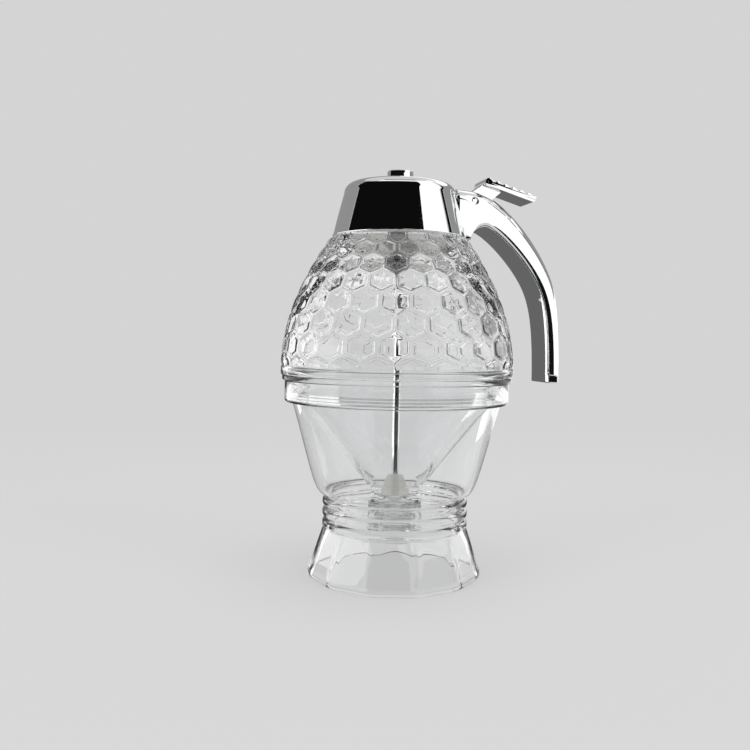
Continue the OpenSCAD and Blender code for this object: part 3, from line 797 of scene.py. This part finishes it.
# %% Small parts
boss_line = [(1.56, 123.6), (4.3, 123.6, 0.9), (4.3, 127.2, 0.4), (5.8, 128.4, 0.5),
             (5.8, 130.6, 0.4), (5.2, 131.2, 0.3), (5.2, 132.4, 0.3), (5.8, 133.0, 0.4),
             (5.9, 142.27, 0.2), (2.9, 142.27), (2.9, 144.4, 0.2), (1.56, 144.4)]
# the boss's darker chrome colour is painted shade
piece("guide_boss", spun(boss_line, 64), boss_chrome_painted_shade, "lid", "guide_bush")
softened("pivot_pin", "pivot_pin_turned", rod_steel, "lid", 0.3)
softened("lift_collar", "lift_collar_turned", liner_white, "plunger", 0.15)
for side in ("left", "right"):
    softened(f"handle_screw_{side}", f"screw_{side}_turned", rod_steel, "lid", 0.12)
for level in ("upper", "lower"):
    softened(f"clip_{level}", f"clip_{level}_steel", wire_steel, "plunger", 0.08)

# %% Rings inside the lid
liner_line = [(2.93, 142.3), (16.35, 142.3), (16.35, 135.5, 0.3), (17.75, 135.5, 0.3),
              (17.75, 142.3), (20.85, 142.3), (20.85, 137.6, 0.3), (25.85, 137.6, 0.3),
              (24.15, 144.0, 0.3), (2.93, 144.0)]
seal_line = [(18.3, 141.4, 0.2), (20.3, 141.4, 0.2), (20.3, 142.3, 0.2), (18.3, 142.3, 0.2)]
bush_line = [(1.56, 156.7), (5.35, 156.7, 0.15), (5.35, 157.47, 0.15), (2.9, 157.47),
             (2.9, 159.3, 0.15), (1.56, 159.3)]
piece("lid_liner", spun(liner_line, 120), liner_white, "lid", "cap_liner")
piece("seal_ring", spun(seal_line, 96), silicone, "lid_seal", "gasket")
piece("roof_bush_moulded", spun(bush_line, 48), liner_white, "lid", "roof_bush")

# %% [markdown]
# ## Return spring
# A short steel spring pushes the plunger down. A curve with a round bevel would make a helix too,
# but the spin operator can lift as it turns, so a small circle of wire is all it needs.

# %% Return spring
WIRE_R, COIL_R, TURNS, STEPS = 0.35, 4.6, 4, 28     # mm, mm, turns and steps to a turn
SPRING_LOW, SPRING_HIGH = 148.75, 156.65            # mm; heights that it stands between


def spring():
    bm = bmesh.new()
    ring = bmesh.ops.create_circle(bm, segments=10, radius=WIRE_R * MM)["verts"]
    bmesh.ops.rotate(bm, verts=ring, cent=(0, 0, 0), matrix=QUARTER_TURN)
    bmesh.ops.translate(bm, verts=ring, vec=Vector((COIL_R, 0, SPRING_LOW + 0.37)) * MM)
    steps = TURNS * STEPS
    rise = (SPRING_HIGH - SPRING_LOW - 0.74) / steps * MM
    bmesh.ops.spin(bm, geom=ring + bm.edges[:], cent=(0, 0, 0), axis=(0, 0, 1),
                   angle=TURNS * math.tau, dvec=(0, 0, rise), steps=steps, use_merge=False)
    bmesh.ops.edgeloop_fill(bm, edges=boundary(bm))
    return bm


coil = piece("return_spring_wire", spring(), wire_steel, "lid", "return_spring")
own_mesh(coil)

# %% [markdown]
# ## Floor and backdrop
# The stage is one pale floor, which fades into an even tone, so that no horizon shows. A curved
# studio sweep would do the same with more mesh. Near the object the floor takes lamp light and
# shadow. Light Path gives the camera, mirrors and clear plastic the even tone further out.

# %% Floor and backdrop
def emitting(finish, value):
    return finish.node("ShaderNodeEmission", None, {"Color": (value, value, value, 1)})


PALE = 0.66                         # the tone of the backdrop far out and of the world


def backdrop(name, shade, glow):
    """Matt to lamps, and an even tone to the camera and in reflections."""
    finish = Finish(name)
    path = finish.tree.nodes.new("ShaderNodeLightPath")
    camera, mirror, clear = (Wire(finish, path.outputs[f"Is {ray} Ray"])
                             for ray in ("Camera", "Glossy", "Transmission"))
    matt = finish.node("ShaderNodeBsdfDiffuse", None, {"Color": (shade, shade, shade, 1)})
    even = emitting(finish, glow)
    away = finish.node("ShaderNodeVectorMath", {"operation": "LENGTH"}, {0: finish.place()},
                       out="Value")
    most = finish.ramp(away, (0.25, 0.8), (0.9, 1.0))
    share = (camera + mirror + clear).maths("MINIMUM", most)
    return finish.ending(finish.node("ShaderNodeMixShader", None, {0: share, 1: matt, 2: even}))


def flat_card(name, material, corners):
    bm = bmesh.new()
    bm.faces.new([bm.verts.new(c) for c in corners])
    made = mesh_object(name, bm, material)
    return made


pale_backdrop = backdrop("pale_backdrop", 0.60, PALE)
flat_card("floor", pale_backdrop, [(-3, -3, 0), (3, -3, 0), (3, 3, 0), (-3, 3, 0)])
print("floor laid")

# %% [markdown]
# ## Cards
# Chrome and clear plastic show only what stands round them. A picture of a room could light them,
# but this script reads no picture. Curved cards of plain tones stand round the object instead,
# as in a product studio. The camera and matt surfaces don't see them, and they cast no shadow.
# Some are met only by mirrored rays, and draw the bold black and white bands of the lid and
# handle. Others are met only through plastic, and draw the outlines of the clear walls. The near
# ones mostly serve the rod, the bowl and the handle, and the far ones the lid. A spin makes each.

# %% Card helper
TURN = math.radians(-16)            # the camera stands this far round from square
FRONT = math.atan2(-math.cos(TURN), math.sin(TURN))
CARD_CENTRE = 0.12                  # metres; the height from which the cards' angles count


def card_tone(name, value):
    finish = Finish(name + "_tone")
    return finish.ending(emitting(finish, value))


def unseen(made, seen):
    """Out of the picture: met only by rays that were mirrored, or went through plastic."""
    made.visible_camera = made.visible_diffuse = made.visible_shadow = False
    made.visible_transmission = seen != "mirrored"
    made.visible_glossy = seen != "through"


def card(name, tone, start, stop, low, high, distance, seen="both"):
    """A curved card round the object: degrees to the right of the camera, degrees above level."""
    bm = bmesh.new()
    arc = [math.radians(low + (high - low) * i / 8) for i in range(9)]
    verts = [bm.verts.new((distance * math.cos(a), 0, CARD_CENTRE + distance * math.sin(a)))
             for a in arc]
    edges = [bm.edges.new(pair) for pair in zip(verts, verts[1:])]
    bmesh.ops.rotate(bm, verts=verts, cent=(0, 0, 0),
                     matrix=Quaternion((0, 0, 1), FRONT + math.radians(start)).to_matrix())
    bmesh.ops.spin(bm, geom=verts + edges, cent=(0, 0, 0), axis=(0, 0, 1),
                   angle=math.radians(stop - start), steps=24, use_merge=False)
    made = mesh_object(name, bm, card_tone(name, tone))
    unseen(made, seen)


print("camera looks from", round(math.degrees(FRONT) % 360), "degrees")

# %% Curved cards
FAR, NEAR = 1.6, 0.28
CARDS = (
    # name, tone, from and to degrees right, from and to degrees up, metres away, seen
    ("dark_front", 0.004, -98, 43, 11, 50, FAR, "mirrored"),
    ("dark_high", 0.01, -60, 60, 64, 70, FAR, "mirrored"),
    ("dark_low", 0.006, -54, 33, -11, 0, NEAR),
    ("dark_mid", 0.006, -44, 6, 0, 12, NEAR),
    ("dark_upper", 0.006, -54, 33, 12, 25, NEAR),
    ("dark_floor", 0.006, -54, 74, -32, -14, 0.22),
    ("white_left", 1.8, -94, -54, -24.6, 11, NEAR),
    ("white_low", 1.2, 33, 55, -11, 25, NEAR),
    ("white_mid", 1.5, 6, 33, 0, 12, NEAR),
    ("white_mid_left", 1.5, -54, -44, 0, 12, NEAR),
    ("white_side", 1.2, 55, 95, -11, 11, NEAR),
    ("white_right", 1.2, 43, 93, 11, 50, FAR, "mirrored"),
    ("white_high", 1.1, -60, 120, 50, 61, FAR, "mirrored"),
    ("white_back", 1.2, 95, 180, 32, 50, FAR, "mirrored"),
    ("dark_line", 0.004, 96, 103, 8, 50, FAR, "mirrored"),
    ("grey_right", 0.30, 104, 180, 5, 32, 1.7, "mirrored"),
    ("grey_left", 0.30, -180, -99, 11, 50, 1.7, "mirrored"),
    ("brown_left", 0.14, -206, -100, -17, 11, 0.42, "mirrored"),
    ("edge_white", 1.0, -166, -105, -4, 35, FAR, "through"),
    ("edge_dark", 0.20, 110, 166, -1, 30, FAR, "through"),
    ("edge_top", 0.9, 166, 194, 20, 40, FAR, "through"),
    ("soft_box_left", 1.5, -140, -96, -22, -8, NEAR),
    ("soft_box_right", 1.25, 97, 160, -22, -8, NEAR),
    ("soft_high_left", 1.6, -125, -96, -8, 6, NEAR, "mirrored"),
    ("soft_high_right", 1.6, 97, 150, -8, 6, NEAR, "mirrored"),
)
for row in CARDS:
    card(*row)
print(len(CARDS), "curved cards")

# %% [markdown]
# Two flat cards lie just above the floor, for mirrored rays only. One gives the handle's inner face
# its even grey. The other keeps a pale reflection of the floor off the bowl's front, so that the
# rod behind it stays dark.

# %% Cards on the floor
CARD_LIFT = 0.001
handle_patch = [(-0.15, 0.05), (0.35, 0.05), (0.35, 0.45), (-0.15, 0.45)]
front_wedge = [(0.075, -26), (0.25, -18), (0.25, 18), (0.075, 26)]      # metres and degrees
bowl_patch = [(reach * math.cos(FRONT + math.radians(turn)),
               reach * math.sin(FRONT + math.radians(turn))) for reach, turn in front_wedge]
for name, tone, patch in (("brown_floor", 0.14, handle_patch), ("dark_under", 0.05, bowl_patch)):
    corners = [(x, y, CARD_LIFT) for x, y in patch]
    unseen(flat_card(name, card_tone(name, tone), corners), "mirrored")
print("2 flat cards")

# %% [markdown]
# ## Light
# A pale even world and three broad soft lamps, at a level where a colour renders about as it is
# written. A sun would throw one hard shadow. Broad discs give the soft one of a studio, and they
# stay out of reflections, because the cards do that work.

# %% World and lamps
world = bpy.data.worlds.new("studio")
bpy.context.scene.world = world
world.use_nodes = True
sky = world.node_tree.nodes["Background"].inputs
sky["Color"].default_value = (PALE, PALE, PALE, 1)
sky["Strength"].default_value = 1.0
AIM = Vector((0, 0, 0.08))


def lamp(name, spot, size, power):
    data = bpy.data.lights.new(name, "AREA")
    data.shape, data.size, data.energy = "DISK", size, power
    made = bpy.data.objects.new(name, data)
    bpy.context.scene.collection.objects.link(made)
    made.location = spot
    made.rotation_mode = "QUATERNION"
    made.rotation_quaternion = (AIM - Vector(spot)).to_track_quat("-Z", "Y")
    made.visible_glossy = made.visible_transmission = False


lamp("soft_top", (0.1, -0.1, 1.3), 0.9, 8)
lamp("soft_left", (-1.1, -0.5, 0.7), 0.7, 6)
lamp("soft_right", (0.9, -0.9, 0.7), 0.7, 6)
print("lamps:", [light.name for light in bpy.data.lights])

# %% [markdown]
# ## Camera
# The photograph looks level at the middle of the jar, from a little left of square. Its scale and
# perspective give the lens and the distance. A small shift puts the jar's place in the frame right
# without tilting the camera, which would bend the upright lines, and a roll of one degree leans
# the jar as the photograph does.

# %% Camera
EYE, DISTANCE = 0.0956, 0.330       # metres above the floor and from the axis
MM_PER_PX, ROLL = 0.412, 1.0        # at the axis, and degrees
FRAME_PX, SENSOR = 750, 36.0        # the photograph's side, and millimetres
data = bpy.data.cameras.new("camera")
data.sensor_width = SENSOR
data.lens = SENSOR * (DISTANCE / MM / MM_PER_PX) / FRAME_PX
data.shift_x, data.shift_y = -22.5 / FRAME_PX, -35.0 / FRAME_PX
camera = bpy.data.objects.new("camera", data)
bpy.context.scene.collection.objects.link(camera)
back = Vector((math.sin(TURN), -math.cos(TURN), 0))
level = (-back).to_track_quat("-Z", "Y")
camera.location = Vector((0, 0, EYE)) + back * DISTANCE
camera.rotation_mode = "QUATERNION"
camera.rotation_quaternion = level @ Quaternion((0, 0, 1), math.radians(ROLL))
bpy.context.scene.camera = camera
bpy.context.scene.view_settings.view_transform = "Standard"
print("lens", round(data.lens, 1), "mm")
